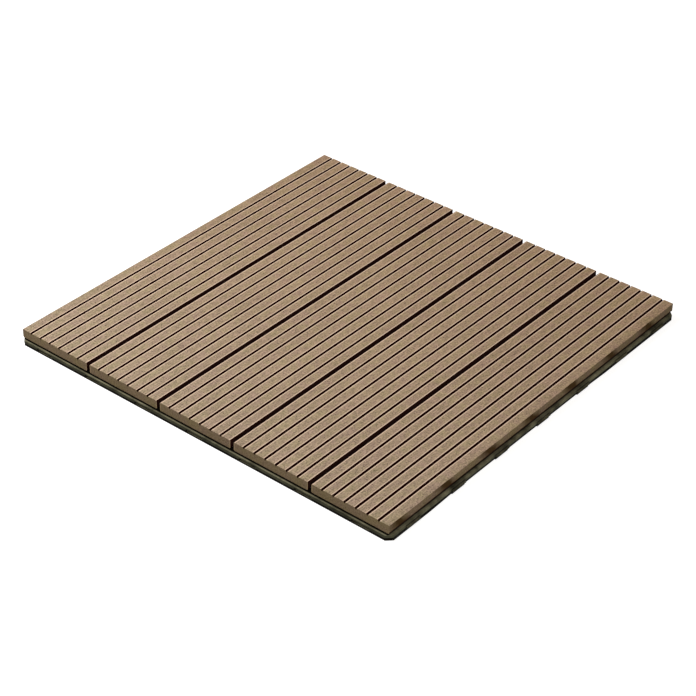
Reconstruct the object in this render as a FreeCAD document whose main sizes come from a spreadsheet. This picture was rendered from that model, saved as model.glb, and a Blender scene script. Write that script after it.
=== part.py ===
import FreeCAD, Part
import os
import Sketcher

# Interlocking deck tile: five grooved composite slats screwed from below to a
# moulded plastic base. Millimetres, +Z up. The origin is the middle of the
# underside, X runs across the slats and Y along them. Tongues stand on the +X
# and +Y sides, and the sockets that take a neighbour's tongues on -X and -Y.

doc = FreeCAD.newDocument("DeckTile")

# Driving sizes
driving_sizes = [
    ("module_side", 600, "side of the base, and the pitch at which tiles are laid"),
    ("slat_count", 5, "slats across one tile"),
    ("slat_gap", 5.6, "open joint between slats, and between the slats of two tiles"),
    ("slat_thickness", 12, "solid composite board"),
    ("edge_chamfer", 0.4, "easing of the slat's long top edges and groove mouths"),
    ("groove_count", 6, "anti-slip grooves in a slat"),
    ("groove_width", 2.2, "mouth of a groove"),
    ("groove_floor", 1.6, "flat bottom of a groove"),
    ("groove_depth", 2, "from the top of the ridges"),
    ("base_height", 10, "ground to the seat of the slats"),
    ("rim_wall", 3, "wall of the skirt and of the neck above it"),
    ("neck_inset", 1.5, "how far the neck stands back from the slats' faces"),
    ("ledge_height", 7.5, "ground to the top of the rim's step"),
    ("ledge_thickness", 2, "plate that joins the skirt to the neck"),
    ("ledge_round", 0.8, "rounding of the step's outer edge"),
    ("corner_chamfer", 7, "cut across each corner of the rim"),
    ("band_height", 3.6, "lower band of the socket sides"),
    ("band_inset", 1.3, "how far the band stands back from the rim's face"),
    ("rib_thickness", 2.2, "ribs of the grid"),
    ("rib_lift", 2, "drainage space under the ribs"),
    ("ribs_per_slat", 3, "long ribs that carry one slat"),
    ("ribs_per_coupling", 2, "cross ribs for each tongue, which stands midway between two"),
    ("coupling_count", 7, "tongues or sockets along one side"),
    ("tongue_width", 25, "along the side"),
    ("coupling_clearance", 0.5, "each side of a tongue in its socket"),
    ("nib_reach", 2.5, "how far a tongue's nib stands out of the rim"),
    ("nib_bottom", 3, "ground to the nib's underside"),
    ("nib_top", 5, "ground to the nib's top"),
    ("nib_lead", 0.8, "chamfers of the nib's tip"),
    ("rim_lift", 2.25, "space under the rim between the tongues"),
    ("socket_depth", 7, "from the rim's face"),
    ("socket_wall", 2, "cheeks and back of a socket"),
    ("socket_floor", 1, "floor of a socket, flush with the rim's underside"),
    ("foot_side", 16, "square pads under the grid"),
    ("foot_overlap", 1, "how far a foot rises into the ribs it carries"),
    ("cells_per_foot", 3, "cells of the grid from one foot to the next"),
    ("boss_side", 12, "square screw bosses"),
    ("cells_to_screws", 5, "cells of the grid from the middle to a screw row"),
    ("screw_diameter", 4, "outside of the thread"),
    ("screw_length", 13, "under the head"),
    ("screw_seat", 5, "ground to the face that a screw head bears on"),
    ("screw_clearance", 0.25, "round the shank in its boss"),
    ("thread_clearance", 0.05, "round the thread in its slat"),
    ("head_diameter", 7.6, "screw head"),
    ("head_height", 2.4, "screw head"),
]

# Sizes that follow from them
derived_sizes = [
    ("half_side", "module_side / 2", "rim's face from the middle"),
    ("slat_pitch", "module_side / slat_count", "slat to slat"),
    ("slat_width", "slat_pitch - slat_gap", "across one slat"),
    ("slat_length", "module_side - slat_gap", "along one slat"),
    ("ridge_width", "(slat_width - groove_count * groove_width) / (groove_count + 1)", "equal ridges"),
    ("groove_pitch", "ridge_width + groove_width", "groove to groove"),
    ("neck_half", "slat_length / 2 - neck_inset", "outside of the neck"),
    ("neck_inner", "neck_half - rim_wall", "inside of the neck"),
    ("skirt_inner", "half_side - rim_wall", "inside of the skirt"),
    ("skirt_chamfer", "corner_chamfer - rim_wall * (2 - sqrt(2))", "keeps the wall even at a corner"),
    ("ledge_bottom", "ledge_height - ledge_thickness", "ceiling of the sockets too"),
    ("band_half", "half_side - band_inset", "face of the lower band"),
    ("band_chamfer", "corner_chamfer - band_inset * (2 - sqrt(2))", "keeps the band even at a corner"),
    ("long_rib_pitch", "slat_pitch / ribs_per_slat", "across the slats"),
    ("long_rib_count", "slat_count * ribs_per_slat", "whole grid"),
    ("coupling_pitch", "module_side / coupling_count", "tongue to tongue"),
    ("coupling_reach", "coupling_pitch * (coupling_count - 1) / 2", "middle to the last tongue"),
    ("cross_rib_pitch", "coupling_pitch / ribs_per_coupling", "along the slats"),
    ("cross_rib_count", "coupling_count * ribs_per_coupling", "whole grid"),
    ("foot_pitch", "cells_per_foot * cross_rib_pitch", "along the slats"),
    ("foot_rows", "2 * floor((cross_rib_count - 1) / 2 / cells_per_foot) + 1", "along the slats"),
    ("screw_pitch", "2 * cells_to_screws * cross_rib_pitch", "between a slat's two screw rows"),
    ("screw_spread", "long_rib_pitch * (ribs_per_slat - 1)", "between a slat's two screw lines"),
    ("socket_width", "tongue_width + 2 * coupling_clearance", "mouth of a socket"),
    ("socket_back", "half_side - socket_depth", "inner end of a socket"),
]

sheet = doc.addObject("Spreadsheet::Sheet", "Sizes")
for row, (alias, value, note) in enumerate(driving_sizes, start=1):
    sheet.set(f"A{row}", str(value))
    sheet.setAlias(f"A{row}", alias)
    sheet.set(f"B{row}", note)
for row, (alias, formula, note) in enumerate(derived_sizes, start=len(driving_sizes) + 1):
    sheet.set(f"A{row}", "=" + formula)
    sheet.setAlias(f"A{row}", alias)
    sheet.set(f"B{row}", note)
doc.recompute()

same = 1e-6  # places nearer to each other than this are one


# Sketches

def origin_part(body, role):
    return next(part for part in body.Origin.OriginFeatures if part.Role == role)


def add_sketch(body, name, plane, offset=None):
    sketch = body.newObject("Sketcher::SketchObject", name)
    sketch.AttachmentSupport = [(origin_part(body, plane), "")]
    sketch.MapMode = "FlatFace"
    if offset:
        sketch.setExpression("AttachmentOffset.Base.z", offset)
    return sketch


def tie(sketch, kind, expression, *ends):
    # One named length, measured between two points or of one curve
    value = sketch.evalExpression(expression)
    index = sketch.addConstraint(Sketcher.Constraint(kind, *ends, value))
    sketch.setExpression(f"Constraints[{index}]", expression)


def tie_point(sketch, geometry, point, across, up):
    tie(sketch, "DistanceX", across, -1, 1, geometry, point)
    tie(sketch, "DistanceY", up, -1, 1, geometry, point)


def add_polygon(sketch, corners):
    # Closed outline whose every corner is given by two expressions
    points = [FreeCAD.Vector(*map(sketch.evalExpression, corner), 0) for corner in corners]
    first = sketch.GeometryCount
    for start, end in zip(points, points[1:] + points[:1]):
        sketch.addGeometry(Part.LineSegment(start, end))
    for index, (across, up) in enumerate(corners):
        following = first + (index + 1) % len(corners)
        sketch.addConstraint(Sketcher.Constraint("Coincident", first + index, 2, following, 1))
        tie_point(sketch, first + index, 1, across, up)


def add_square(sketch, half):
    add_polygon(sketch, [(f"-{half}", f"-{half}"), (half, f"-{half}"), (half, half), (f"-{half}", half)])


def add_octagon(sketch, half, chamfer, centre=("0", "0")):
    inner = f"({half} - {chamfer})"
    add_polygon(sketch, [(f"{centre[0]} + {across}", f"{centre[1]} + {up}") for across, up in (
        (f"-{inner}", f"-{half}"), (inner, f"-{half}"), (half, f"-{inner}"), (half, inner),
        (inner, half), (f"-{inner}", half), (f"-{half}", inner), (f"-{half}", f"-{inner}"),
    )])


def add_small_round(sketch, diameter, centre=("0", "0")):
    # Eight flats stand for a screw's round, with their corners on it
    half = f"({diameter} * sqrt(2 + sqrt(2)) / 4)"
    add_octagon(sketch, half, f"{half} * (2 - sqrt(2))", centre)


# Features

def pad(body, name, sketch, length, symmetric=False):
    feature = body.newObject("PartDesign::Pad", name)
    feature.Profile = sketch
    feature.setExpression("Length", length)
    feature.SideType = "Symmetric" if symmetric else "One side"
    return feature


def pocket(body, name, sketch, length=None):
    # Cuts upwards from a sketch that lies flat, or both ways right through when no length is given
    feature = body.newObject("PartDesign::Pocket", name)
    feature.Profile = sketch
    if length:
        feature.setExpression("Length", length)
        feature.Reversed = True
    else:
        feature.Type = "ThroughAll"
        feature.SideType = "Symmetric"
    return feature


def line_up(pattern, body, axis, spacing, count):
    pattern.Direction = (origin_part(body, axis), [""])
    pattern.Mode = "Spacing"
    pattern.setExpression("Offset", spacing)
    pattern.setExpression("Occurrences", count)


def repeat(body, name, feature, axis, spacing, count):
    pattern = body.newObject("PartDesign::LinearPattern", name)
    pattern.Originals = [feature]
    line_up(pattern, body, axis, spacing, count)
    body.Tip = pattern
    return pattern


def repeat_grid(body, name, feature, *steps):
    # Repeats a feature along several (axis, spacing, count) steps, one after the other
    grid = body.newObject("PartDesign::MultiTransform", name)
    grid.Originals = [feature]
    patterns = []
    for axis, spacing, count in steps:
        pattern = body.newObject("PartDesign::LinearPattern", f"{name}_{axis[0].lower()}")
        line_up(pattern, body, axis, spacing, count)
        patterns.append(pattern)
    grid.Transformations = patterns
    body.Tip = grid
    return grid


def dress_edges(body, kind, name, base, wanted):
    # Fillets or chamfers every edge of the base feature for which wanted(edge) is true
    doc.recompute()
    edges = [f"Edge{index}" for index, edge in enumerate(base.Shape.Edges, start=1) if wanted(edge)]
    feature = body.newObject(kind, name)
    feature.Base = (base, edges)
    return feature


# Slats

slat_screws_grid = (
    ("X_Axis", "Sizes.screw_spread", "2"),
    ("Y_Axis", "Sizes.screw_pitch", "2"),
)


def add_groove_outline(sketch):
    # Section of the first groove: tapered walls, a flat floor, and open above the board's top
    centre = "Sizes.ridge_width + Sizes.groove_width / 2 - Sizes.slat_width / 2"
    floor_z, top_z = "Sizes.slat_thickness - Sizes.groove_depth", "Sizes.slat_thickness"
    open_z = f"{top_z} + Sizes.groove_depth"
    add_polygon(sketch, [
        (f"{centre} - Sizes.groove_floor / 2", floor_z), (f"{centre} + Sizes.groove_floor / 2", floor_z),
        (f"{centre} + Sizes.groove_width / 2", top_z), (f"{centre} + Sizes.groove_width / 2", open_z),
        (f"{centre} - Sizes.groove_width / 2", open_z), (f"{centre} - Sizes.groove_width / 2", top_z),
    ])


def make_slat(number):
    body = doc.addObject("PartDesign::Body", f"slat_{number}")
    body.Label = f"slat_{number}"

    board_sketch = add_sketch(body, "board_outline", "XY_Plane")
    half_width, half_length = "Sizes.slat_width / 2", "Sizes.slat_length / 2"
    add_polygon(board_sketch, [
        (f"-{half_width}", f"-{half_length}"), (half_width, f"-{half_length}"),
        (half_width, half_length), (f"-{half_width}", half_length),
    ])
    pad(body, "board", board_sketch, "Sizes.slat_thickness")

    groove_sketch = add_sketch(body, "groove_outline", "XZ_Plane")
    add_groove_outline(groove_sketch)
    groove = pocket(body, "groove", groove_sketch)
    grooves = repeat(body, "grooves", groove, "X_Axis", "Sizes.groove_pitch", "Sizes.groove_count")

    top = sheet.slat_thickness

    def is_long_top_edge(edge):
        box = edge.BoundBox
        return abs(box.ZMin - top) < same and box.ZLength < same and box.XLength < same

    easing = dress_edges(body, "PartDesign::Chamfer", "eased_edges", grooves, is_long_top_edge)
    easing.setExpression("Size", "Sizes.edge_chamfer")

    # Holes that the screws cut for themselves
    hole_sketch = add_sketch(body, "hole_outline", "XY_Plane")
    hole_diameter = "(Sizes.screw_diameter + 2 * Sizes.thread_clearance)"
    add_small_round(hole_sketch, hole_diameter, ("-Sizes.screw_spread / 2", "-Sizes.screw_pitch / 2"))
    hole = pocket(body, "hole", hole_sketch, "Sizes.screw_seat + Sizes.screw_length - Sizes.base_height")
    repeat_grid(body, "holes", hole, *slat_screws_grid)

    body.setExpression("Placement.Base.x", f"({number} - (Sizes.slat_count + 1) / 2) * Sizes.slat_pitch")
    body.setExpression("Placement.Base.z", "Sizes.base_height")
    return body


slats = [make_slat(number) for number in range(1, int(sheet.slat_count) + 1)]

# Base

rim = doc.addObject("PartDesign::Body", "rim")

# Rim: a skirt down to the ground, a step, and a neck that stands under the slats' ends
skirt_sketch = add_sketch(rim, "skirt_outline", "XY_Plane")
add_octagon(skirt_sketch, "Sizes.half_side", "Sizes.corner_chamfer")
add_octagon(skirt_sketch, "Sizes.skirt_inner", "Sizes.skirt_chamfer")
pad(rim, "skirt", skirt_sketch, "Sizes.ledge_height")

ledge_sketch = add_sketch(rim, "ledge_outline", "XY_Plane", "Sizes.ledge_bottom")
add_octagon(ledge_sketch, "Sizes.half_side", "Sizes.corner_chamfer")
add_square(ledge_sketch, "Sizes.neck_inner")
pad(rim, "ledge", ledge_sketch, "Sizes.ledge_thickness")

neck_sketch = add_sketch(rim, "neck_outline", "XY_Plane", "Sizes.ledge_bottom")
add_square(neck_sketch, "Sizes.neck_half")
add_square(neck_sketch, "Sizes.neck_inner")
pad(rim, "neck", neck_sketch, "Sizes.base_height - Sizes.ledge_bottom")

# Lower band, set back on the two socket sides
band_sketch = add_sketch(rim, "band_outline", "XY_Plane")
outside = "(Sizes.half_side + Sizes.rim_wall)"
band_turn = "(Sizes.band_half - Sizes.band_chamfer)"
add_polygon(band_sketch, [
    (outside, f"-{outside}"), (outside, "-Sizes.band_half"), (f"-{band_turn}", "-Sizes.band_half"),
    ("-Sizes.band_half", f"-{band_turn}"), ("-Sizes.band_half", outside), (f"-{outside}", outside),
    (f"-{outside}", f"-{outside}"),
])
pocket(rim, "band", band_sketch, "Sizes.band_height")

# Rim lifted off the ground between the first and the last tongue
lift_sketch = add_sketch(rim, "lift_outline", "XY_Plane")
add_polygon(lift_sketch, [
    ("Sizes.skirt_inner", "-Sizes.coupling_reach"), (outside, "-Sizes.coupling_reach"),
    (outside, "Sizes.coupling_reach"), ("Sizes.skirt_inner", "Sizes.coupling_reach"),
])
add_polygon(lift_sketch, [
    ("-Sizes.coupling_reach", "Sizes.skirt_inner"), ("Sizes.coupling_reach", "Sizes.skirt_inner"),
    ("Sizes.coupling_reach", outside), ("-Sizes.coupling_reach", outside),
])
pocket(rim, "rim_gaps", lift_sketch, "Sizes.rim_lift")

# Sockets on -X and -Y: a box behind the skirt, then the cavity that opens through it over a floor
box_half = "(Sizes.socket_width / 2 + Sizes.socket_wall)"
cavity_half = "(Sizes.socket_width / 2)"
box_back = "(Sizes.socket_back - Sizes.socket_wall)"
box_front = "(Sizes.skirt_inner + Sizes.rim_wall / 4)"


def add_socket_sketch(name, side, half_width, back, front, bottom=None):
    # Rectangle of a side's first socket
    sketch = add_sketch(rim, name, "XY_Plane", bottom)
    near, far = f"-Sizes.coupling_reach - {half_width}", f"-Sizes.coupling_reach + {half_width}"
    corners = [(near, f"-{front}"), (far, f"-{front}"), (far, f"-{back}"), (near, f"-{back}")]
    if side == "left":
        corners = [(up, across) for across, up in corners]
    add_polygon(sketch, corners)
    return sketch


for side, axis in (("front", "X_Axis"), ("left", "Y_Axis")):
    box_sketch = add_socket_sketch(f"{side}_box_outline", side, box_half, box_back, box_front)
    box = pad(rim, f"{side}_box", box_sketch, "Sizes.ledge_height - Sizes.ledge_thickness / 2")
    repeat(rim, f"{side}_boxes", box, axis, "Sizes.coupling_pitch", "Sizes.coupling_count")
    cavity_sketch = add_socket_sketch(
        f"{side}_cavity_outline", side, cavity_half, "Sizes.socket_back", outside, "Sizes.socket_floor")
    cavity = pocket(rim, f"{side}_cavity", cavity_sketch, "Sizes.ledge_bottom - Sizes.socket_floor")
    repeat(rim, f"{side}_cavities", cavity, axis, "Sizes.coupling_pitch", "Sizes.coupling_count")

# Tongues on +X and +Y, seen from the side: a block down to the ground with a nib that snaps into a socket
tip = "(Sizes.half_side + Sizes.nib_reach)"
tongue_corners = [
    ("Sizes.skirt_inner", "0"), ("Sizes.half_side", "0"),
    ("Sizes.half_side", "Sizes.nib_bottom"), (f"{tip} - Sizes.nib_lead", "Sizes.nib_bottom"),
    (tip, "Sizes.nib_bottom + Sizes.nib_lead"), (tip, "Sizes.nib_top - Sizes.nib_lead"),
    (f"{tip} - Sizes.nib_lead", "Sizes.nib_top"), ("Sizes.skirt_inner", "Sizes.nib_top"),
]
for side, plane, offset, axis in (
        ("right", "XZ_Plane", "Sizes.coupling_reach", "Y_Axis"),
        ("rear", "YZ_Plane", "-Sizes.coupling_reach", "X_Axis")):
    tongue_sketch = add_sketch(rim, f"{side}_tongue_outline", plane, offset)
    add_polygon(tongue_sketch, tongue_corners)
    tongue = pad(rim, f"{side}_tongue", tongue_sketch, "Sizes.tongue_width", symmetric=True)
    tongues = repeat(rim, f"{side}_tongues", tongue, axis, "Sizes.coupling_pitch", "Sizes.coupling_count")


def is_ledge_edge(edge):
    # Outer edge of the step, along the sides and across the corners
    middle = edge.BoundBox.Center
    on_side = max(abs(middle.x), abs(middle.y)) > sheet.half_side - same
    on_corner = abs(middle.x) + abs(middle.y) > 2 * sheet.half_side - sheet.corner_chamfer - same
    level = edge.BoundBox.ZLength < same and abs(middle.z - sheet.ledge_height) < same
    return level and (on_side or on_corner)


ledge_edge = dress_edges(rim, "PartDesign::Fillet", "ledge_edge", tongues, is_ledge_edge)
ledge_edge.setExpression("Radius", "Sizes.ledge_round")

# Grid: ribs, feet and screw bosses, which join the rim in one moulding

def spread(pitch, count):
    # Places of a row of equal steps about the middle
    return [(index - (count - 1) / 2) * pitch for index in range(int(count))]


def square_block(side, bottom, top, x, y):
    corner = FreeCAD.Vector(x - side / 2, y - side / 2, bottom)
    return Part.makeBox(side, side, top - bottom, corner)


def make_rib(across, turned):
    # A rib starts in the sockets' backs or the neck, and ends in the skirt of the tongue side
    socket_end = sheet.socket_back - sheet.socket_wall / 2
    neck_end = sheet.neck_inner + sheet.rim_wall / 2
    skirt_end = sheet.skirt_inner + sheet.rim_wall / 2
    corners = [
        (-socket_end, sheet.rib_lift), (skirt_end, sheet.rib_lift),
        (skirt_end, sheet.ledge_bottom), (neck_end, sheet.ledge_bottom),
        (neck_end, sheet.base_height), (-neck_end, sheet.base_height),
        (-neck_end, sheet.ledge_bottom), (-socket_end, sheet.ledge_bottom),
    ]
    side = across - sheet.rib_thickness / 2
    if turned:
        points = [FreeCAD.Vector(side, along, up) for along, up in corners]
        thickness = FreeCAD.Vector(sheet.rib_thickness, 0, 0)
    else:
        points = [FreeCAD.Vector(along, side, up) for along, up in corners]
        thickness = FreeCAD.Vector(0, sheet.rib_thickness, 0)
    return Part.Face(Part.makePolygon(points + points[:1])).extrude(thickness)


slat_lines = spread(sheet.slat_pitch, sheet.slat_count)
screw_places = [
    (line + side, y)
    for line in slat_lines for side in spread(sheet.screw_spread, 2)
    for y in spread(sheet.screw_pitch, 2)
]


def make_grid():
    ribs = [make_rib(x, True) for x in spread(sheet.long_rib_pitch, sheet.long_rib_count)]
    ribs += [make_rib(y, False) for y in spread(sheet.cross_rib_pitch, sheet.cross_rib_count)]
    # A rib is notched under each boss, so that the screw's head has room and a driver reaches it
    notches = [square_block(sheet.boss_side, 0, sheet.screw_seat, *place) for place in screw_places]
    feet = [
        square_block(sheet.foot_side, 0, sheet.rib_lift + sheet.foot_overlap, x, y)
        for x in slat_lines for y in spread(sheet.foot_pitch, sheet.foot_rows)
    ]
    bosses = [
        square_block(sheet.boss_side, sheet.screw_seat, sheet.base_height, *place) for place in screw_places
    ]
    shank_radius = sheet.screw_diameter / 2 + sheet.screw_clearance
    shank_holes = [
        Part.makeCylinder(shank_radius, sheet.base_height, FreeCAD.Vector(*place, 0))
        for place in screw_places
    ]
    return ribs[0].multiFuse(ribs[1:]).cut(notches).multiFuse(feet + bosses).cut(shank_holes)


doc.recompute()
base = doc.addObject("Part::Feature", "base_grid")
base.Label = "base_grid"
base.Shape = rim.Shape.fuse(make_grid()).removeSplitter()

# Screws: head below, shank above

screw = doc.addObject("PartDesign::Body", "screw")
for part, diameter, length, downwards in (
        ("head", "Sizes.head_diameter", "Sizes.head_height", True),
        ("shank", "Sizes.screw_diameter", "Sizes.screw_length", False)):
    round_sketch = add_sketch(screw, f"{part}_outline", "XY_Plane")
    add_small_round(round_sketch, diameter)
    pad(screw, part, round_sketch, length).Reversed = downwards
doc.recompute()


def placed_screw(x, y):
    copy = screw.Shape.copy()
    copy.translate(FreeCAD.Vector(x, y, sheet.screw_seat))
    return copy


screws = doc.addObject("Part::Feature", "slat_screws")
screws.Label = "slat_screws"
screws.Shape = Part.makeCompound([placed_screw(*place) for place in screw_places])

# Files

doc.recompute()
pieces = slats + [base, screws]
failed = [item.Name for item in doc.Objects if {"Invalid", "Error"} & set(item.State)]
if failed:
    raise RuntimeError(f"failed features: {failed}")
for piece in pieces:
    if piece.Shape.isNull() or not piece.Shape.isValid():
        raise RuntimeError(f"{piece.Label} has no valid shape")

os.makedirs("parts", exist_ok=True)
for piece in pieces:
    piece.Shape.exportStep(f"parts/{piece.Label}.step")
    print(piece.Label, len(piece.Shape.Solids), round(piece.Shape.Volume))
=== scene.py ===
import math

import bmesh
import bpy
from mathutils import Matrix, Vector


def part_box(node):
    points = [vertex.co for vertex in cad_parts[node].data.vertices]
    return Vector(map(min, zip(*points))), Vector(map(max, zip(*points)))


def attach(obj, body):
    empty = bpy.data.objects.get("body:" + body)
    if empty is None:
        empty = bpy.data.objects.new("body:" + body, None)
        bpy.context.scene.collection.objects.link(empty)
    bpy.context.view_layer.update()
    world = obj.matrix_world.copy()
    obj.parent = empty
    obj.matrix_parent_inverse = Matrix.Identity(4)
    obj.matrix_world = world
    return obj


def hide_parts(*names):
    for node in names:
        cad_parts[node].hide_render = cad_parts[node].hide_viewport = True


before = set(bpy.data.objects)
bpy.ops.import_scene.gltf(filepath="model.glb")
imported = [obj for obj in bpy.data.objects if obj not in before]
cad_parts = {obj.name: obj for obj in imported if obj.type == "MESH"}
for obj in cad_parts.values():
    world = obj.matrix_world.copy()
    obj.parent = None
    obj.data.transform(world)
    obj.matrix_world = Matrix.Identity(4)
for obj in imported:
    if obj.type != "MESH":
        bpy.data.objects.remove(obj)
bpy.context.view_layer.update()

# Interlocking deck tile: five grooved, brushed composite slats on a moulded base, in metres

mm = 0.001
slack = 0.1 * mm  # between a height and the one it is compared with
slatNames = sorted(
    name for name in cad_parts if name.startswith("slat_") and name[-1].isdigit())
slatLow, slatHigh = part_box(slatNames[len(slatNames) // 2])  # the middle slat, centred on X = 0
slatWidth = slatHigh.x - slatLow.x
slatPitch = (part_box(slatNames[1])[0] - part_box(slatNames[0])[0]).x
deckTop = slatHigh.z
halfSide = -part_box("base_grid")[0].x  # middle to the rim's face, where no tongue stands out
tongueCount = 7  # tongues or sockets along a side
tonguePitch = 2 * halfSide / tongueCount


def linearColour(hexCode):  # sRGB hex to a linear RGBA colour
    channels = [int(hexCode[place:place + 2], 16) / 255 for place in (1, 3, 5)]
    return [c / 12.92 if c <= 0.04045 else ((c + 0.055) / 1.055) ** 2.4 for c in channels] + [1]


mathNode = "ShaderNodeMath"


def addNode(tree, kind, inputs=(), **settings):
    # Inputs are plain values, sockets, or nodes, which stand for their first output. The mix node
    # has its share at 0, then numbers at 2 and 3, vectors at 4 and 5, or colours at 6 and 7.
    node = tree.nodes.new(kind)
    for name, value in settings.items():
        setattr(node, name, value)
    pairs = inputs.items() if isinstance(inputs, dict) else enumerate(inputs)
    for key, value in pairs:
        if isinstance(value, bpy.types.Node):
            value = value.outputs[0]
        if isinstance(value, bpy.types.NodeSocket):
            tree.links.new(value, node.inputs[key])
        else:
            node.inputs[key].default_value = value
    return node


def newMaterial(name):
    # An empty material: its node tree and its shader, already joined to the output
    material = bpy.data.materials.new(name)
    material.use_nodes = True
    tree = material.node_tree
    tree.nodes.clear()
    shader = addNode(tree, "ShaderNodeBsdfPrincipled")
    addNode(tree, "ShaderNodeOutputMaterial", [shader])
    return material, tree, shader


def newTree(name, result, **inputs):
    # A geometry node tree with named inputs: its nodes' tree and the sockets of those inputs
    tree = bpy.data.node_groups.new(name, "GeometryNodeTree")
    for label, kind in inputs.items():
        tree.interface.new_socket(label, in_out="INPUT", socket_type=f"NodeSocket{kind}")
    tree.interface.new_socket(result, in_out="OUTPUT", socket_type="NodeSocketGeometry")
    return tree, addNode(tree, "NodeGroupInput").outputs


def growMesh(name, tree, **values):
    # Runs a geometry node tree with these inputs and keeps its result as a plain mesh
    holder = bpy.data.objects.new(f"{name}_holder", bpy.data.meshes.new(f"{name}_holder"))
    bpy.context.scene.collection.objects.link(holder)
    modifier = holder.modifiers.new("grow", "NODES")
    modifier.node_group = tree
    for socket in tree.interface.items_tree:
        if socket.in_out == "INPUT":
            modifier[socket.identifier] = values[socket.name]
    evaluated = holder.evaluated_get(bpy.context.evaluated_depsgraph_get())
    mesh = bpy.data.meshes.new_from_object(evaluated)
    bpy.data.objects.remove(holder)
    piece = bpy.data.objects.new(name, mesh)
    bpy.context.scene.collection.objects.link(piece)
    return piece


# Slats

board = {
    "grooveCount": 6,
    "grooveWidth": 2.2 * mm,
    "grooveFloor": 1.6 * mm,
    "grooveDepth": 2.0 * mm,
    "easing": 0.45 * mm,  # rounding of the grooves and upper edges, as the extruder's die leaves it
    "lowEasing": 1.6 * mm,  # rounder below
    "easingSteps": 4,
}
groovePitch = (slatWidth + board["grooveWidth"]) / (board["grooveCount"] + 1)

composite = {
    "olive": "#9D8B6E", "mauve": "#9F8774",  # the two casts that the board drifts between
    "cast": 16 * mm, "castRange": (0.35, 0.65),  # size of the patches, and their span of the noise
    "sheenFront": (0.985, 1.035, 1.085),  # painted sheen: the front ends greyer and paler, the back ends warmer
    "sheenBack": (1.015, 0.965, 0.92),
    "shadedSideOlive": "#77694D", "shadedSideMauve": "#776553",  # painted shade: the colour of every face that does not face up, sawn ends and outer sides among them
    "cutPattern": 0.6,  # share of the brushed faces' pattern that they show
    "strokeWidth": 2.4 * mm, "strokeLength": 9 * mm,  # brush marks, drawn coarser than real
    "flour": 2.2 * mm,  # wood flour, drawn about twice as coarse as real so that it shows
    "fleck": 1.7 * mm, "fleckRange": (0.6, 0.7),  # sparse dark flecks
    "drift": 45 * mm,
    "toneShares": {  # how far each pattern brightens or darkens the board
        "strokes": 0.9, "flour": 2.0, "flecks": -0.5, "drift": 0.3, "ridge": 0.04, "corner": 1.2,
    },
    "ridgeSeed": 10,  # gives the ridges of each board tones of their own
    "edgeHighlight": "#E6CBB3", "edgeHighlightShare": 0.9,  # painted highlight: pale strip along the edges of a ridge
    "highlightWidth": 1.9 * mm, "highlightBlur": 0.5 * mm,
    "cornerHighlight": 1.6 * mm,  # painted highlight, as on the ridges, on the corners of the sawn ends beside a joint
    "tongueShadow": "#38260D", "tongueShadowShare": 0.95,  # painted shadow marks that rise from the tongues
    "shadowBack": (-27 * mm, -7 * mm),  # they fade in over this stretch behind the tongue's middle
    "shadowFront": (13 * mm, 1 * mm),  # and end over this one in front of it
    "creep": 14 * mm, "creepReach": 18 * mm,  # how unevenly their outlines run
    "recessShade": "#210500",  # painted shade, near black, in the grooves and on the joints' walls
    "shadeOverEdge": 0.77 * mm,  # the painted shade reaches this far over the edge of a groove or joint
    "shadedFoot": 2.2 * mm, "footBlur": 0.4 * mm,  # painted shade on the lower edge of the outer sides
    "relief": 0.15 * mm, "reliefStrength": 0.5,
    "roughness": 0.85, "specular": 0.05,
}


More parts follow.
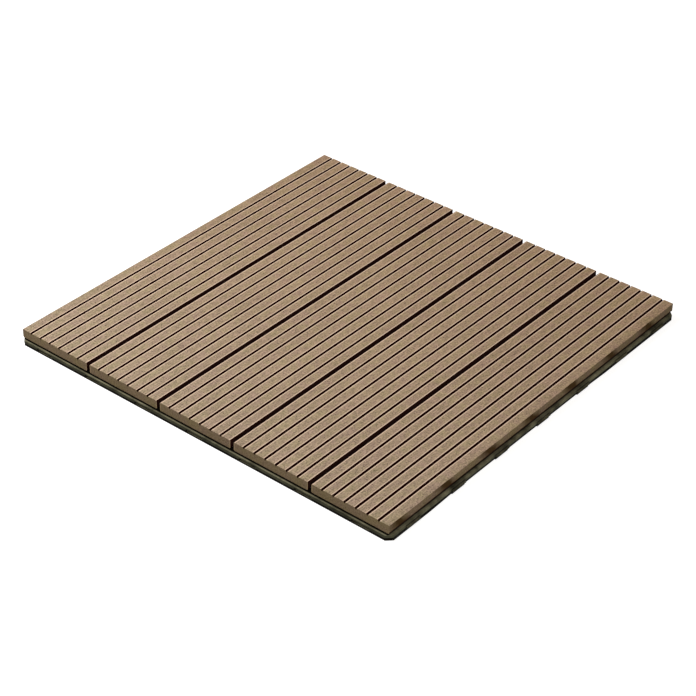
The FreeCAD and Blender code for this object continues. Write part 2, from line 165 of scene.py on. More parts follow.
def makeBrushedComposite():
    # Wood flour in polyethylene, extruded and then brushed along the board: a matt brown with fine
    # flecks and lengthwise strokes. Painted highlights on its edges, painted shade on the ends and
    # sides and near black in the grooves and joints, painted sheen towards the front ends, and
    # painted shadow marks above the tongues
    material, tree, shader = newMaterial("brushed_wood_composite")
    coords = addNode(tree, "ShaderNodeTexCoord")
    place = coords.outputs["Object"]
    axes = addNode(tree, "ShaderNodeSeparateXYZ", [place])
    facing = addNode(tree, "ShaderNodeSeparateXYZ", [coords.outputs["Normal"]])

    # Where a point lies: in its board, in its ridge, and below the deck's top
    inBoard = addNode(tree, mathNode, [
        axes.outputs["X"], -slatPitch / 2, slatPitch / 2], operation="WRAP")
    fromMiddle = addNode(tree, mathNode, [inBoard], operation="ABSOLUTE")
    inRidge = addNode(tree, mathNode, [inBoard, groovePitch / 2], operation="PINGPONG")
    depth = addNode(tree, mathNode, [deckTop, axes.outputs["Z"]], operation="SUBTRACT")
    onTop = addNode(tree, mathNode, [facing.outputs["Z"], 0.5], operation="GREATER_THAN")
    fromCentre = addNode(tree, mathNode, [axes.outputs["X"]], operation="ABSOLUTE")
    facingEnds = addNode(tree, mathNode, [facing.outputs["Y"]], operation="ABSOLUTE")
    onEnd = addNode(tree, mathNode, [facingEnds, 0.5], operation="GREATER_THAN")
    lastMiddle = slatPitch * (len(slatNames) - 1) / 2  # X at the middle of the outermost slat

    # Body, drifting between its two casts
    casts = addNode(tree, "ShaderNodeTexNoise", {
        "Vector": place, "Scale": 1 / composite["cast"], "Detail": 3, "Roughness": 0.6})
    cast = addNode(tree, "ShaderNodeMapRange", [casts, *composite["castRange"]])
    body = addNode(tree, "ShaderNodeMix", {
        0: cast, 6: linearColour(composite["olive"]), 7: linearColour(composite["mauve"])},
        data_type="RGBA")
    # Painted sheen: greyer towards the front ends, warmer towards the back
    alongBoard = addNode(tree, "ShaderNodeMapRange", [axes.outputs["Y"], slatLow.y, slatHigh.y])
    sheenGradient = addNode(tree, "ShaderNodeMix", {
        0: alongBoard, 4: composite["sheenFront"], 5: composite["sheenBack"]}, data_type="VECTOR")
    body = addNode(tree, "ShaderNodeVectorMath", [
        body.outputs[2], sheenGradient.outputs[1]], operation="MULTIPLY")

    # Patterns that brighten or darken it
    strokeSpace = addNode(tree, "ShaderNodeMapping", {"Vector": place, "Scale": (
        1 / composite["strokeWidth"], 1 / composite["strokeLength"], 1 / composite["strokeWidth"])})
    strokes = addNode(tree, "ShaderNodeTexNoise", {"Vector": strokeSpace, "Scale": 1, "Detail": 2})
    flour = addNode(tree, "ShaderNodeTexNoise", {
        "Vector": place, "Scale": 1 / composite["flour"], "Detail": 2, "Roughness": 0.6})
    drift = addNode(tree, "ShaderNodeTexNoise", {
        "Vector": place, "Scale": 1 / composite["drift"], "Detail": 2})
    boardPlace = addNode(tree, mathNode, [
        addNode(tree, mathNode, [axes.outputs["X"], slatPitch / 2]), slatPitch], operation="SNAP")
    inRow = addNode(tree, mathNode, [inBoard, (slatWidth + board["grooveWidth"]) / 2])
    ridgePlace = addNode(tree, mathNode, [inRow, groovePitch], operation="SNAP")
    ridgeTone = addNode(tree, "ShaderNodeTexWhiteNoise", {
        "W": addNode(tree, mathNode, [
            boardPlace, composite["ridgeSeed"], ridgePlace], operation="MULTIPLY_ADD")},
        noise_dimensions="1D")
    fleckNoise = addNode(tree, "ShaderNodeTexNoise", {
        "Vector": place, "Scale": 1 / composite["fleck"], "Detail": 1})
    flecks = addNode(tree, "ShaderNodeMapRange", [fleckNoise, *composite["fleckRange"]])

    # Painted highlights along the edges, except on the deck's two outer ones
    ridgeEdge = groovePitch / 2 - board["grooveWidth"] / 2
    stripEdge = ridgeEdge - composite["highlightWidth"]
    strip = addNode(tree, "ShaderNodeMapRange", [
        inRidge, stripEdge - composite["highlightBlur"], stripEdge + composite["highlightBlur"],
        0.0, composite["edgeHighlightShare"]])
    # Painted highlight on the upright corners of the sawn ends
    corner = addNode(tree, "ShaderNodeMapRange", [
        fromMiddle, slatWidth / 2 - composite["cornerHighlight"],
        slatWidth / 2 - composite["cornerHighlight"] / 2])
    withinEdges = addNode(tree, mathNode, [
        fromCentre, lastMiddle + (slatWidth - groovePitch) / 2], operation="LESS_THAN")
    strip = addNode(tree, mathNode, [strip, withinEdges], operation="MULTIPLY")
    highlightTop = addNode(tree, mathNode, [strip, onTop], operation="MULTIPLY")
    corner = addNode(tree, mathNode, [corner, withinEdges], operation="MULTIPLY")
    cornerHighlight = addNode(tree, mathNode, [corner, onEnd], operation="MULTIPLY")

    # Each pattern, less its mean, is added by its share
    patterns = {
        "strokes": (strokes, 0.5), "flour": (flour, 0.5), "flecks": (flecks, 0.1),
        "drift": (drift, 0.5), "ridge": (ridgeTone, 0.5), "corner": (cornerHighlight, 0)}
    tone = 1.0
    for name, (pattern, mean) in patterns.items():
        centred = addNode(tree, mathNode, [pattern, mean], operation="SUBTRACT")
        tone = addNode(tree, mathNode, [
            centred, composite["toneShares"][name], tone], operation="MULTIPLY_ADD")

    # Painted shade: the sawn ends, outer sides and every other face that does not face up take a
    # darker colour
    cut = addNode(tree, "ShaderNodeMix", {
        0: cast, 6: linearColour(composite["shadedSideOlive"]), 7: linearColour(composite["shadedSideMauve"])},
        data_type="RGBA")
    topOrShadedSide = addNode(tree, "ShaderNodeMix", {
        0: onTop, 6: cut.outputs[2], 7: body}, data_type="RGBA")
    shown = addNode(tree, "ShaderNodeMapRange", [onTop, 0.0, 1.0, composite["cutPattern"], 1.0])
    tone = addNode(tree, "ShaderNodeMix", {0: shown, 2: 1.0, 3: tone})
    toned = addNode(tree, "ShaderNodeVectorMath", {
        0: topOrShadedSide.outputs[2], "Scale": tone}, operation="SCALE")
    # Painted highlight: the pale strip on the ridges' edges
    litPaler = addNode(tree, "ShaderNodeMix", {
        0: highlightTop, 6: toned, 7: linearColour(composite["edgeHighlight"])}, data_type="RGBA")

    # Painted shadow marks on the tongues' side: each leans back from its tongue as it rises, sharp
    # in front and fading behind
    creep = addNode(tree, "ShaderNodeTexNoise", {
        "Vector": place, "Scale": 1 / composite["creep"], "Detail": 2})
    leaning = addNode(tree, mathNode, [axes.outputs["Z"], axes.outputs["Y"]])
    leaning = addNode(tree, mathNode, [
        creep, composite["creepReach"], leaning], operation="MULTIPLY_ADD")
    leaning = addNode(tree, mathNode, [leaning, composite["creepReach"] / 2], operation="SUBTRACT")
    fromTongue = addNode(tree, mathNode, [
        leaning, -tonguePitch / 2, tonguePitch / 2], operation="WRAP")
    shadowMark = addNode(tree, mathNode, [
        addNode(tree, "ShaderNodeMapRange", [
            fromTongue, *composite[stretch], 0, composite["tongueShadowShare"]])
        for stretch in ("shadowBack", "shadowFront")], operation="MINIMUM")
    facingOut = addNode(tree, mathNode, [facing.outputs["X"], 0.5], operation="GREATER_THAN")
    onLastSlat = addNode(tree, mathNode, [axes.outputs["X"], lastMiddle], operation="GREATER_THAN")
    shadowMark = addNode(tree, mathNode, [shadowMark, facingOut], operation="MULTIPLY")
    shadowMark = addNode(tree, mathNode, [shadowMark, onLastSlat], operation="MULTIPLY")
    shadowMarked = addNode(tree, "ShaderNodeMix", {
        0: shadowMark, 6: litPaler.outputs[2], 7: linearColour(composite["tongueShadow"])}, data_type="RGBA")

    # Painted shade, near black: in the grooves, on the walls of the joints between two boards, and
    # low on the sides
    inGroove = addNode(tree, mathNode, [
        inRidge, ridgeEdge - composite["shadeOverEdge"]], operation="GREATER_THAN")
    aboveFloor = addNode(tree, mathNode, [
        depth, board["grooveDepth"] + slack], operation="LESS_THAN")
    groovePart = addNode(tree, mathNode, [inGroove, aboveFloor], operation="MULTIPLY")
    withinBoard = addNode(tree, mathNode, [
        fromMiddle, (slatWidth - groovePitch) / 2], operation="LESS_THAN")
    groovePart = addNode(tree, mathNode, [groovePart, withinBoard], operation="MULTIPLY")
    onWall = addNode(tree, mathNode, [
        fromMiddle, slatWidth / 2 - composite["shadeOverEdge"]], operation="GREATER_THAN")
    inside = addNode(tree, mathNode, [fromCentre, lastMiddle], operation="LESS_THAN")
    wallPart = addNode(tree, mathNode, [onWall, inside], operation="MULTIPLY")
    footTop = slatLow.z + composite["shadedFoot"]
    foot = addNode(tree, "ShaderNodeMapRange", [
        axes.outputs["Z"], footTop + composite["footBlur"], footTop])
    footPart = addNode(tree, mathNode, [foot, onWall], operation="MULTIPLY")
    shadeMask = addNode(tree, mathNode, [groovePart, wallPart], operation="MAXIMUM")
    shadeMask = addNode(tree, mathNode, [shadeMask, footPart], operation="MAXIMUM")
    notOnEnd = addNode(tree, mathNode, [facingEnds, 0.5], operation="LESS_THAN")
    shadeMask = addNode(tree, mathNode, [shadeMask, notOnEnd], operation="MULTIPLY")
    coloured = addNode(tree, "ShaderNodeMix", {
        0: shadeMask, 6: shadowMarked.outputs[2], 7: linearColour(composite["recessShade"])}, data_type="RGBA")

    relief = addNode(tree, mathNode, [strokes, flour], operation="ADD")
    bump = addNode(tree, "ShaderNodeBump", {
        "Strength": composite["reliefStrength"], "Distance": composite["relief"], "Height": relief})
    tree.links.new(coloured.outputs[2], shader.inputs["Base Color"])
    tree.links.new(bump.outputs[0], shader.inputs["Normal"])
    shader.inputs["Roughness"].default_value = composite["roughness"]
    shader.inputs["Specular IOR Level"].default_value = composite["specular"]
    return material


def makeBoardTree():
    # The board's section has four corners for each groove and four of its own. One formula places
    # them all: the second and third of each four are the low ones.
    tree, size = newTree(
        "grooved_board", "Board",
        Middle="Vector", Width="Float", Length="Float", Thickness="Float",
        Grooves="Int", Mouth="Float", Floor="Float", Depth="Float",
        Easing="Float", LowEasing="Float", Steps="Int", Finish="Material")
    count = addNode(tree, mathNode, [size["Grooves"], 4, 4], operation="MULTIPLY_ADD")
    index = addNode(tree, "GeometryNodeInputIndex")
    corner = addNode(tree, mathNode, [index, 4], operation="MODULO")
    fours = addNode(tree, mathNode, [index, 4], operation="DIVIDE")
    group = addNode(tree, mathNode, [fours], operation="FLOOR")
    ofGroove = addNode(tree, mathNode, [group, size["Grooves"]], operation="LESS_THAN")
    fromMiddle = addNode(tree, mathNode, [corner, 1.5], operation="SUBTRACT")
    away = addNode(tree, mathNode, [fromMiddle], operation="ABSOLUTE")
    low = addNode(tree, mathNode, [away, 1], operation="LESS_THAN")
    side = addNode(tree, mathNode, [fromMiddle], operation="SIGN")

    pitch = addNode(tree, mathNode, [
        addNode(tree, mathNode, [size["Width"], size["Mouth"]], operation="ADD"),
        addNode(tree, mathNode, [size["Grooves"], 1], operation="ADD")], operation="DIVIDE")
    lastGroove = addNode(tree, mathNode, [size["Grooves"], 1], operation="SUBTRACT")
    steps = addNode(tree, mathNode, [lastGroove, -0.5, group], operation="MULTIPLY_ADD")
    grooveMiddle = addNode(tree, mathNode, [steps, pitch], operation="MULTIPLY")
    grooveSpan = addNode(tree, "ShaderNodeMix", {0: low, 2: size["Mouth"], 3: size["Floor"]})
    grooveHalf = addNode(tree, mathNode, [grooveSpan, 0.5], operation="MULTIPLY")
    grooveX = addNode(tree, mathNode, [side, grooveHalf, grooveMiddle], operation="MULTIPLY_ADD")
    halfWidth = addNode(tree, mathNode, [size["Width"], -0.5], operation="MULTIPLY")
    edgeX = addNode(tree, mathNode, [side, halfWidth], operation="MULTIPLY")
    placeX = addNode(tree, "ShaderNodeMix", {0: ofGroove, 2: edgeX, 3: grooveX})
    reach = addNode(tree, "ShaderNodeMix", {0: ofGroove, 2: size["Thickness"], 3: size["Depth"]})
    placeY = addNode(tree, mathNode, [reach, low], operation="MULTIPLY")

    corners = addNode(tree, "GeometryNodeMeshLine", {"Count": count})
    placed = addNode(tree, "GeometryNodeSetPosition", {
        "Geometry": corners, "Position": addNode(tree, "ShaderNodeCombineXYZ", [placeX, placeY])})
    outline = addNode(tree, "GeometryNodeSetSplineCyclic", {
        "Geometry": addNode(tree, "GeometryNodeMeshToCurve", [placed]), "Cyclic": True})
    lowEdge = addNode(tree, mathNode, [low, ofGroove], operation="GREATER_THAN")
    radius = addNode(tree, "ShaderNodeMix", {0: lowEdge, 2: size["Easing"], 3: size["LowEasing"]})
    eased = addNode(tree, "GeometryNodeFilletCurve", {
        "Curve": outline, "Count": size["Steps"], "Radius": radius, "Limit Radius": True},
        mode="POLY")

    ahead = addNode(tree, mathNode, [size["Length"], 0.5], operation="MULTIPLY")
    behind = addNode(tree, mathNode, [size["Length"], -0.5], operation="MULTIPLY")
    run = addNode(tree, "GeometryNodeCurvePrimitiveLine", {
        "Start": addNode(tree, "ShaderNodeCombineXYZ", [0.0, behind]),
        "End": addNode(tree, "ShaderNodeCombineXYZ", [0.0, ahead])})
    solid = addNode(tree, "GeometryNodeCurveToMesh", {
        "Curve": run, "Profile Curve": eased, "Fill Caps": True})
    seated = addNode(tree, "GeometryNodeTransform", {
        "Geometry": solid, "Translation": size["Middle"]})
    real = addNode(tree, "GeometryNodeRealizeInstances", [seated])
    dressed = addNode(tree, "GeometryNodeSetMaterial", {
        "Geometry": real, "Material": size["Finish"]})
    addNode(tree, "NodeGroupOutput", [dressed])
    return tree


brushedComposite = makeBrushedComposite()
boardTree = makeBoardTree()
for name in slatNames:
    low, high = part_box(name)
    slat = growMesh(
        f"grooved_{name}", boardTree, Middle=((low.x + high.x) / 2, (low.y + high.y) / 2, high.z),
        Width=high.x - low.x, Length=high.y - low.y, Thickness=high.z - low.z,
        Grooves=board["grooveCount"], Mouth=board["grooveWidth"], Floor=board["grooveFloor"],
        Depth=board["grooveDepth"], Easing=board["easing"], LowEasing=board["lowEasing"],
        Steps=board["easingSteps"], Finish=brushedComposite)
    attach(slat, "root")
    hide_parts(name)
print("slats made")

# Base

moulding = {
    # The second colour is a painted highlight for faces turned up, the third a near black painted
    # shade
    "colour": "#3A3A2D", "litPaler": "#666350", "underShade": "#0C0905",
    "grain": 0.6 * mm,  # spark-eroded texture, drawn coarser than real so that it shows
    "relief": 0.05 * mm, "reliefStrength": 0.3,
    "flow": 60 * mm, "flowShare": 0.4,  # slow drift of the pigment
    "grime": 16 * mm, "grimeShare": 3,
    "toneOffset": -0.6, "darkest": 0.3,  # added to the sum of the two, and its lower limit
    "dustAndLight": 1.7,  # how far dust and painted light pale the tongues' side, which the key lamp leaves in shade
    "paleGap": (12 * mm, 18 * mm),  # it starts between these distances from a tongue's middle
    "atTongue": -0.3,  # its share nearer than that; below nought is darker than clean plastic, painted shadow that goes on from the marks on the slat's side
    "paleEnd": 273 * mm, "paleEndBlur": 4 * mm,  # past the outermost tongues little of it is left
    "beyondEnd": 0.15,
    "paleOnStep": 0.35, "paleTurn": 0.9,  # less of it where the step faces up
    "litTurn": (0.6, 0.95),  # painted highlight: paler as it turns from here to here, 1 facing up
    "ledgeTop": 7.5 * mm,
    "bandTop": 3.6 * mm, "bandBlur": 0.2 * mm,  # painted shade, near black, on the rim's foot
    "bandRise": 0.5 * mm,  # higher beside the outermost slats
    "shadeReach": 2.3 * mm,  # painted shade lies on the step up to this far behind the rim's face
    "sideShadeReach": 4.1 * mm,  # the same beside the outermost slats
    "shadeBlur": 0.3 * mm,
    "roughness": 0.65, "specular": 0.03,
}


def makeMouldedPolypropylene():
    # Polypropylene with recycled pigment, moulded in a spark-eroded tool: dark grey-green, finely
    # matt, with a painted highlight where it faces up, painted shade under the slats and low on the
    # rim, and on the tongues' side dust with painted light between the tongues and painted shadow
    # at them
    material, tree, shader = newMaterial("moulded_polypropylene")
    coords = addNode(tree, "ShaderNodeTexCoord")
    place = coords.outputs["Object"]
    axes = addNode(tree, "ShaderNodeSeparateXYZ", [place])
    facing = addNode(tree, "ShaderNodeSeparateXYZ", [coords.outputs["Normal"]])
    toX = addNode(tree, mathNode, [axes.outputs["X"]], operation="ABSOLUTE")
    toY = addNode(tree, mathNode, [axes.outputs["Y"]], operation="ABSOLUTE")

    # Drift and grime over all of it; on the tongues' side dust and painted light, paler between the
    # tongues, and painted shadow at them
    grain, flow, grime = (
        addNode(tree, "ShaderNodeTexNoise", {
            "Vector": place, "Scale": 1 / moulding[name], "Detail": detail})
        for name, detail in (("grain", 1), ("flow", 3), ("grime", 2)))
    tone = addNode(tree, mathNode, [
        flow, moulding["flowShare"], moulding["toneOffset"]], operation="MULTIPLY_ADD")
    tone = addNode(tree, mathNode, [grime, moulding["grimeShare"], tone], operation="MULTIPLY_ADD")
    tone = addNode(tree, mathNode, [tone, moulding["darkest"]], operation="MAXIMUM")
    atSide = addNode(tree, "ShaderNodeMapRange", [
        axes.outputs["X"], halfSide - moulding["sideShadeReach"], halfSide - moulding["shadeReach"]])
    fromTongue = addNode(tree, mathNode, [axes.outputs["Y"], tonguePitch / 2], operation="PINGPONG")
    betweenTongues = addNode(tree, "ShaderNodeMapRange", [
        fromTongue, *moulding["paleGap"], moulding["atTongue"], 1])
    dustAndLight = addNode(tree, mathNode, [atSide, betweenTongues], operation="MULTIPLY")
    withinTongues = addNode(tree, "ShaderNodeMapRange", [
        toY, moulding["paleEnd"] + moulding["paleEndBlur"],
        moulding["paleEnd"] - moulding["paleEndBlur"], moulding["beyondEnd"], 1])
    dustAndLight = addNode(tree, mathNode, [dustAndLight, withinTongues], operation="MULTIPLY")
    lessWhereUp = addNode(tree, "ShaderNodeMapRange", [
        facing.outputs["Z"], 0.0, moulding["paleTurn"], 1.0, moulding["paleOnStep"]])
    dustAndLight = addNode(tree, mathNode, [dustAndLight, lessWhereUp], operation="MULTIPLY")
    dustAndLightFactor = addNode(tree, mathNode, [dustAndLight, moulding["dustAndLight"], 1], operation="MULTIPLY_ADD")
    tone = addNode(tree, mathNode, [tone, dustAndLightFactor], operation="MULTIPLY")

    # Painted highlight: paler where it faces up
    litPaler = addNode(tree, "ShaderNodeMapRange", [facing.outputs["Z"], *moulding["litTurn"]])
    paler = addNode(tree, "ShaderNodeMix", {
        0: litPaler, 6: linearColour(moulding["colour"]), 7: linearColour(moulding["litPaler"])},
        data_type="RGBA")
    toned = addNode(tree, "ShaderNodeVectorMath", {
        0: paler.outputs[2], "Scale": tone}, operation="SCALE")

    # Painted shade, near black: in the step's inner corner and all that stands behind it under the
    # slats, and low on the rim
    toSide = addNode(tree, mathNode, [toX, moulding["sideShadeReach"] - moulding["shadeReach"]])
    outward = addNode(tree, mathNode, [toSide, toY], operation="MAXIMUM")
    shadeLine = halfSide - moulding["shadeReach"]
    behind = addNode(tree, "ShaderNodeMapRange", [
        outward, shadeLine + moulding["shadeBlur"], shadeLine - moulding["shadeBlur"]])
    raised = addNode(tree, mathNode, [
        axes.outputs["Z"], moulding["ledgeTop"] - slack], operation="GREATER_THAN")
    inStep = addNode(tree, mathNode, [behind, raised], operation="MULTIPLY")
    sideways = addNode(tree, mathNode, [facing.outputs["X"]], operation="ABSOLUTE")
    height = addNode(tree, mathNode, [
        sideways, -moulding["bandRise"], axes.outputs["Z"]], operation="MULTIPLY_ADD")
    low = addNode(tree, "ShaderNodeMapRange", [
        height, moulding["bandTop"] + moulding["bandBlur"],
        moulding["bandTop"] - moulding["bandBlur"]])
    upright = addNode(tree, mathNode, [facing.outputs["Z"]], operation="ABSOLUTE")
    beside = addNode(tree, mathNode, [upright, 0.5], operation="LESS_THAN")
    onRim = addNode(tree, mathNode, [low, beside], operation="MULTIPLY")
    paintedShade = addNode(tree, mathNode, [inStep, onRim], operation="MAXIMUM")
    coloured = addNode(tree, "ShaderNodeMix", {
        0: paintedShade, 6: toned, 7: linearColour(moulding["underShade"])}, data_type="RGBA")

    bump = addNode(tree, "ShaderNodeBump", {
        "Strength": moulding["reliefStrength"], "Distance": moulding["relief"], "Height": grain})
    tree.links.new(coloured.outputs[2], shader.inputs["Base Color"])
    tree.links.new(bump.outputs[0], shader.inputs["Normal"])
    shader.inputs["Roughness"].default_value = moulding["roughness"]
    shader.inputs["Specular IOR Level"].default_value = moulding["specular"]
    return material


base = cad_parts["base_grid"]
base.data.materials.clear()
base.data.materials.append(makeMouldedPolypropylene())
print("base finished")

# Screws

screw = {
    "head": 7.6 * mm, "headHeight": 2.4 * mm, "seat": 5 * mm, "length": 13 * mm,
    "headProfile": (  # shares of the head's radius and height, from its face to its seat
        (0.55, 1.0), (0.8, 0.95), (0.95, 0.72), (1.0, 0.4), (1.0, 0.0)),
    "crest": 4.0 * mm, "root": 2.8 * mm, "threadPitch": 1.6 * mm, "point": 3.0 * mm,
    "flank": 1.8,  # steepness of the thread's flanks
    "sides": 20, "rowsPerTurn": 6,
    "recess": 3.6 * mm, "recessSlot": 0.9 * mm, "recessDepth": 1.4 * mm,
    "recessTaper": (1.25, 0.6), "cutterOut": 1 * mm,  # its width outside the head and at its floor
    "spread": 80 * mm, "rows": 428.571 * mm,  # across and along a slat
    "grain": 0.4 * mm, "grainRange": (0.3, 0.7), "roughness": (0.28, 0.42), "colour": "#B9B7B2",
}


def makeStainlessSteel():
    # A2 stainless wire, cold headed and thread rolled: bright but not polished
    material, tree, shader = newMaterial("rolled_stainless_steel")
    place = addNode(tree, "ShaderNodeTexCoord").outputs["Object"]
    grain = addNode(tree, "ShaderNodeTexNoise", {
        "Vector": place, "Scale": 1 / screw["grain"], "Detail": 2})
    matt = addNode(tree, "ShaderNodeMapRange", [grain, *screw["grainRange"], *screw["roughness"]])
    tree.links.new(matt.outputs[0], shader.inputs["Roughness"])
    shader.inputs["Base Color"].default_value = linearColour(screw["colour"])
    shader.inputs["Metallic"].default_value = 1
    return material


def makeScrewMesh():
    # One screw with its seat at Z = 0 and its point upwards, ring by ring from the head's face
    shape = bmesh.new()
    headRadius, rootRadius, crestRadius = screw["head"] / 2, screw["root"] / 2, screw["crest"] / 2
    rings = [(headRadius * across, -screw["headHeight"] * high, 0)
             for across, high in screw["headProfile"]]
    rings.append((rootRadius, 0, 0))
    rowHeight = screw["threadPitch"] / screw["rowsPerTurn"]
    rowCount = int(screw["length"] / rowHeight)
    for row in range(1, rowCount):
        height = row * rowHeight
        toPoint = min(1, (screw["length"] - height) / screw["point"])
        rings.append((rootRadius * toPoint, height, (crestRadius - rootRadius) * toPoint))
    previous = None
    for radius, height, thread in rings:
        ring = []
        for side in range(screw["sides"]):
            turn = side / screw["sides"]
            ridge = abs((height / screw["threadPitch"] - turn) % 1 - 0.5) * 2  # 1 on the crest
            reach = radius + thread * max(0, 1 - (1 - ridge) * screw["flank"])
            angle = turn * math.tau
            ring.append(shape.verts.new((reach * math.cos(angle), reach * math.sin(angle), height)))
        if previous:
            for side in range(screw["sides"]):
                after = (side + 1) % screw["sides"]
                shape.faces.new((previous[side], previous[after], ring[after], ring[side]))
        else:
            shape.faces.new(ring[::-1])
        previous = ring
    tip = shape.verts.new((0, 0, screw["length"]))
    for side in range(screw["sides"]):
        shape.faces.new((previous[side], previous[(side + 1) % screw["sides"]], tip))
    mesh = bpy.data.meshes.new("screw_shape")
    shape.to_mesh(mesh)
    shape.free()
    return mesh


def makeRecessMesh():
    # The driver's cross, a tapered cutter with twelve corners that stands through the head's face
    shape = bmesh.new()
    arm, slot = screw["recess"] / 2, screw["recessSlot"] / 2
    corners = [(arm, slot), (slot, slot), (slot, arm)]
    outline = []
    for quarter in range(4):
        turn = Matrix.Rotation(quarter * math.pi / 2, 2)
        outline += [turn @ Vector(corner) for corner in corners]
    heights = (-screw["headHeight"] - screw["cutterOut"],
               -screw["headHeight"] + screw["recessDepth"])
    rings = [[shape.verts.new((*(corner * share), height)) for corner in outline]
             for height, share in zip(heights, screw["recessTaper"])]
    shape.faces.new(rings[0][::-1])
    shape.faces.new(rings[1])
    for place in range(len(outline)):
        after = (place + 1) % len(outline)
        shape.faces.new((rings[0][place], rings[0][after], rings[1][after], rings[1][place]))
    mesh = bpy.data.meshes.new("recess_shape")
    shape.to_mesh(mesh)
    shape.free()
    return mesh


def makeScrewsTree():
    # A two by two grid of screws for each slat, along a line of slats
    tree, size = newTree(
        "screws_of_slats", "Screws", Slats="Int", Pitch="Float", Spread="Float", Rows="Float",
        Seat="Float", Screw="Object", Finish="Material")
    steps = addNode(tree, mathNode, [size["Slats"], 1], operation="SUBTRACT")
    back = addNode(tree, mathNode, [steps, -0.5], operation="MULTIPLY")
    firstX = addNode(tree, mathNode, [back, size["Pitch"]], operation="MULTIPLY")
    line = addNode(tree, "GeometryNodeMeshLine", {
        "Count": size["Slats"], "Offset": addNode(tree, "ShaderNodeCombineXYZ", [size["Pitch"]]),
        "Start Location": addNode(tree, "ShaderNodeCombineXYZ", [firstX, 0.0, size["Seat"]])})
    four = addNode(tree, "GeometryNodeMeshGrid", {
        "Size X": size["Spread"], "Size Y": size["Rows"], "Vertices X": 2, "Vertices Y": 2})
    places = addNode(tree, "GeometryNodeRealizeInstances", [
        addNode(tree, "GeometryNodeInstanceOnPoints", {"Points": line, "Instance": four})])
    one = addNode(tree, "GeometryNodeObjectInfo", {"Object": size["Screw"]})
    many = addNode(tree, "GeometryNodeInstanceOnPoints", {
        "Points": places, "Instance": one.outputs["Geometry"]})
    real = addNode(tree, "GeometryNodeRealizeInstances", [many])
    dressed = addNode(tree, "GeometryNodeSetMaterial", {
        "Geometry": real, "Material": size["Finish"]})
    addNode(tree, "NodeGroupOutput", [dressed])
    return tree


oneScrew = bpy.data.objects.new("one_screw", makeScrewMesh())
cutter = bpy.data.objects.new("recess_cutter", makeRecessMesh())
for helper in (oneScrew, cutter):
    bpy.context.scene.collection.objects.link(helper)
cut = oneScrew.modifiers.new("recess", "BOOLEAN")
cut.object = cutter
cut.operation = "DIFFERENCE"
cut.solver = "EXACT"
screws = growMesh(
    "pan_head_screws", makeScrewsTree(), Slats=len(slatNames), Pitch=slatPitch,
    Spread=screw["spread"], Rows=screw["rows"], Seat=screw["seat"], Screw=oneScrew,
    Finish=makeStainlessSteel())
for helper in (oneScrew, cutter):
    bpy.data.objects.remove(helper)
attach(screws, "root")
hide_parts("slat_screws")
print("screws made")

# Floor, light and camera

studio = {
    "floorSide": 12.0, "floorColour": 0.55, "floorLift": 0.82,
    "whiteRange": (0.6, 2.4),  # between these distances the floor goes over to plain white
    "contactX": 299.25 * mm, "contactY": 299.8 * mm,  # painted contact shadow: dark under the tile, this far out
    "contactCorner": 593 * mm,  # and at its corners to this sum of both distances
    "contactColour": 0.01, "contactBlur": 0.3 * mm,
    "tongueContact": 1.3 * mm, "tongueWidth": 25 * mm,  # this much further out at a tongue
    "liftMiddle": -45 * mm,  # light shows under the rim about this place on the tongues' side
    "liftReach": (130 * mm, 180 * mm),  # and is gone between these distances from it
    "ambient": 0.25, "ambientColour": "#FFF0DC",
    "lamps": {  # place, side and power of each soft box
        "key_box": ((-0.90, -0.56, 1.3), 1.0, 24.8),
        "fill_box": ((1.6, -1.0, 0.7), 1.0, 13.2),
        "under_box": ((0, 0, -1.2), 1.0, 12.0),  # for the underside, through the dark floor
    },
}


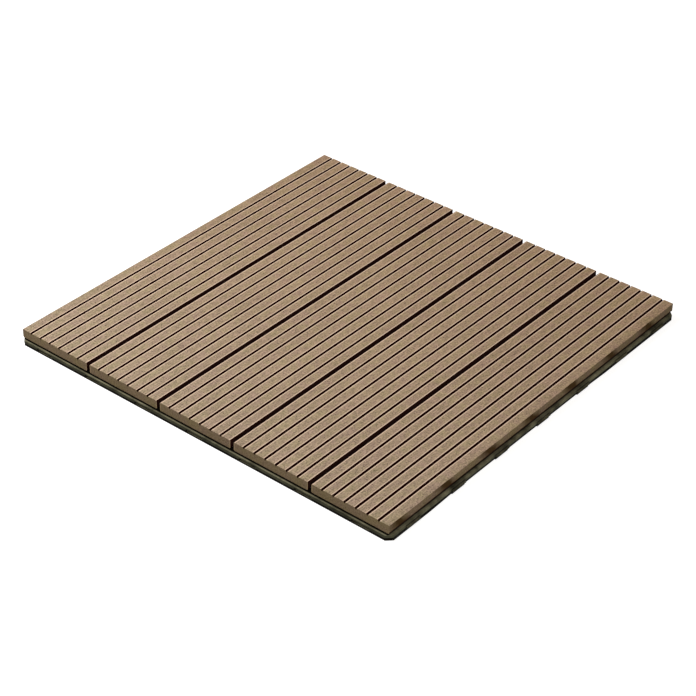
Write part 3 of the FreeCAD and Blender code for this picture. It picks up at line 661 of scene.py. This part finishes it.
def makeFloor():
    # Pale, and white to the camera where nothing shades it. Dark under the tile and a little past
    # its edge, a painted contact shadow, where it lets light through from below, and see-through
    # for a camera that looks from there.
    shape = bmesh.new()
    bmesh.ops.create_grid(shape, x_segments=1, y_segments=1, size=studio["floorSide"] / 2)
    mesh = bpy.data.meshes.new("studio_floor")
    shape.to_mesh(mesh)
    shape.free()
    floor = bpy.data.objects.new("studio_floor", mesh)
    bpy.context.scene.collection.objects.link(floor)
    material, tree, shader = newMaterial("pale_floor")
    place = addNode(tree, "ShaderNodeTexCoord").outputs["Object"]
    axes = addNode(tree, "ShaderNodeSeparateXYZ", [place])
    toX = addNode(tree, mathNode, [axes.outputs["X"]], operation="ABSOLUTE")
    toY = addNode(tree, mathNode, [axes.outputs["Y"]], operation="ABSOLUTE")
    toCorner = addNode(tree, mathNode, [toX, toY], operation="ADD")
    fromTongue = addNode(tree, mathNode, [axes.outputs["Y"], tonguePitch / 2], operation="PINGPONG")
    atTongue = addNode(tree, mathNode, [
        fromTongue, studio["tongueWidth"] / 2], operation="LESS_THAN")
    fromLift = addNode(tree, mathNode, [
        axes.outputs["Y"], studio["liftMiddle"]], operation="SUBTRACT")
    fromLift = addNode(tree, mathNode, [fromLift], operation="ABSOLUTE")
    closed = addNode(tree, "ShaderNodeMapRange", [fromLift, *studio["liftReach"]])
    closed = addNode(tree, mathNode, [closed, atTongue], operation="MAXIMUM")
    contactX = addNode(tree, mathNode, [
        closed, studio["tongueContact"], studio["contactX"]], operation="MULTIPLY_ADD")
    pastX = addNode(tree, mathNode, [toX, contactX], operation="SUBTRACT")
    pastY = addNode(tree, mathNode, [toY, studio["contactY"]], operation="SUBTRACT")
    pastCorner = addNode(tree, mathNode, [toCorner, studio["contactCorner"]], operation="SUBTRACT")
    outward = addNode(tree, mathNode, [pastX, pastY], operation="MAXIMUM")
    outward = addNode(tree, mathNode, [outward, pastCorner], operation="MAXIMUM")
    clear = addNode(tree, "ShaderNodeMapRange", [
        outward, -studio["contactBlur"], studio["contactBlur"]])
    dark, pale = studio["contactColour"], studio["floorColour"]
    colour = addNode(tree, "ShaderNodeMix", {
        0: clear, 6: (dark, dark, dark, 1), 7: (pale, pale, pale, 1)}, data_type="RGBA")
    tree.links.new(colour.outputs[2], shader.inputs["Base Color"])
    shader.inputs["Roughness"].default_value = 1
    shader.inputs["Specular IOR Level"].default_value = 0
    shader.inputs["Emission Color"].default_value = (1, 1, 1, 1)
    path = addNode(tree, "ShaderNodeLightPath")
    seen = addNode(tree, mathNode, [
        path.outputs["Is Camera Ray"], path.outputs["Is Glossy Ray"]], operation="MAXIMUM")
    seen = addNode(tree, mathNode, [seen, path.outputs["Is Transmission Ray"]], operation="MAXIMUM")
    away = addNode(tree, "ShaderNodeVectorMath", [place], operation="LENGTH").outputs["Value"]
    white = addNode(tree, "ShaderNodeMapRange", [
        away, *studio["whiteRange"], studio["floorLift"], 1.0])
    lift = addNode(tree, mathNode, [seen, white], operation="MULTIPLY")
    lift = addNode(tree, mathNode, [lift, clear], operation="MULTIPLY")
    tree.links.new(lift.outputs[0], shader.inputs["Emission Strength"])
    blocked = addNode(tree, mathNode, [clear, path.outputs["Is Camera Ray"]], operation="ADD")
    lightThrough = addNode(tree, mathNode, [1, blocked], operation="SUBTRACT")
    below = addNode(tree, "ShaderNodeNewGeometry").outputs["Backfacing"]
    seeThrough = addNode(tree, mathNode, [lightThrough, below], operation="MAXIMUM")
    whole = addNode(tree, "ShaderNodeMixShader", [
        seeThrough, shader, addNode(tree, "ShaderNodeBsdfTransparent")])
    tree.links.new(whole.outputs[0], tree.nodes["Material Output"].inputs["Surface"])
    mesh.materials.append(material)


def makeWorld():
    world = bpy.data.worlds.new("soft_studio")
    world.use_nodes = True
    tree = world.node_tree
    tree.nodes.clear()
    path = addNode(tree, "ShaderNodeLightPath")
    seen = addNode(tree, mathNode, [
        path.outputs["Is Camera Ray"], path.outputs["Is Glossy Ray"]], operation="MAXIMUM")
    seen = addNode(tree, mathNode, [seen, path.outputs["Is Transmission Ray"]], operation="MAXIMUM")
    strength = addNode(tree, "ShaderNodeMapRange", [seen, 0.0, 1.0, studio["ambient"], 1.0])
    colour = addNode(tree, "ShaderNodeMix", {
        0: seen, 6: linearColour(studio["ambientColour"]), 7: (1, 1, 1, 1)}, data_type="RGBA")
    light = addNode(tree, "ShaderNodeBackground", [colour.outputs[2], strength])
    addNode(tree, "ShaderNodeOutputWorld", [light])
    bpy.context.scene.world = world


def makeLamps():
    for name, (place, side, power) in studio["lamps"].items():
        data = bpy.data.lights.new(name, "AREA")
        data.shape = "SQUARE"
        data.size = side
        data.energy = power
        lamp = bpy.data.objects.new(name, data)
        lamp.location = place
        lamp.rotation_euler = (-Vector(place)).to_track_quat("-Z", "Y").to_euler()
        bpy.context.scene.collection.objects.link(lamp)


view = {
    "azimuth": 38.732, "elevation": 34.927, "roll": 1.289,  # degrees
    "distance": 2.61497,  # from the middle of the deck's top, as the next two are
    "acrossView": -5.922 * mm, "upView": -41.072 * mm,
    "lens": 105.161, "sensor": 36,
}


def makeCamera():
    azimuth, elevation, roll = (
        math.radians(view[name]) for name in ("azimuth", "elevation", "roll"))
    level = Vector((math.sin(azimuth), -math.cos(azimuth), 0))
    back = level * math.cos(elevation) + Vector((0, 0, math.sin(elevation)))
    right = Vector((math.cos(azimuth), math.sin(azimuth), 0))
    up = back.cross(right)
    turnedRight = math.cos(roll) * right + math.sin(roll) * up
    turnedUp = math.cos(roll) * up - math.sin(roll) * right
    place = turnedRight * view["acrossView"] + turnedUp * view["upView"] + back * view["distance"]
    data = bpy.data.cameras.new("photo_camera")
    data.lens = view["lens"]
    data.sensor_width = view["sensor"]
    camera = bpy.data.objects.new("photo_camera", data)
    axes = Matrix((turnedRight, turnedUp, back)).transposed()
    camera.matrix_world = Matrix.Translation(place + Vector((0, 0, deckTop))) @ axes.to_4x4()
    bpy.context.scene.collection.objects.link(camera)
    bpy.context.scene.camera = camera


makeFloor()
makeWorld()
makeLamps()
makeCamera()
bpy.context.scene.view_settings.view_transform = "Standard"
print("studio ready")
